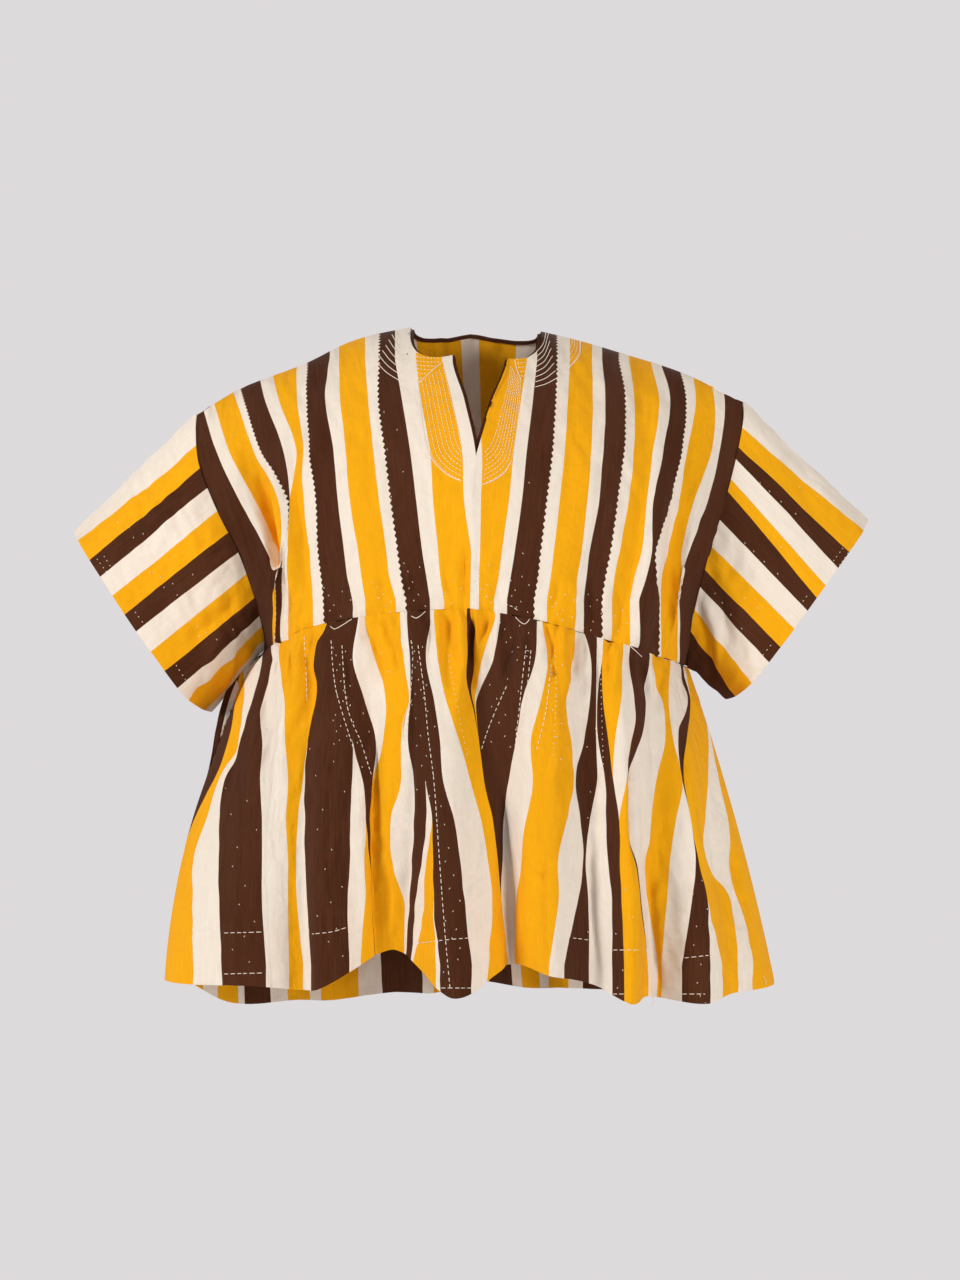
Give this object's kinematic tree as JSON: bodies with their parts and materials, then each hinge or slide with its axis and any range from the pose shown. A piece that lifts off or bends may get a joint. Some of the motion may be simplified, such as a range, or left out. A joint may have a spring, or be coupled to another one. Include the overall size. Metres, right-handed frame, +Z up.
{
  "type": "fugu smock (worn striped smock with a gathered skirt)",
  "caption": "Wide hand-woven smock in amber, cream and dark brown stripes, with a V-slit neck, short open sleeves and a gathered, flaring skirt, shaped as worn.",
  "frame": {"origin": "on the centre line, level with the neck's side points, in the plane of the shoulder fold, where the wearer's shoulders and neck hold the smock", "axes": "+Z up, the smock's front faces -Y, the wearer's left is at +X"},
  "size_m": [0.864, 0.4548, 0.7587],
  "materials": {
    "striped_cloth": "matte hand-woven cotton in amber, cream and dark brown stripes",
    "facing_cloth": "matte dark brown cotton",
    "thread": "matte cream cotton thread"
  },
  "bodies": {
    "root": {"bodice_front": "striped_cloth", "bodice_back": "striped_cloth", "sleeve_left": "striped_cloth", "sleeve_right": "striped_cloth", "skirt_front": "striped_cloth", "skirt_back": "striped_cloth", "neck_facing": "facing_cloth"}
  },
  "joints": []
}
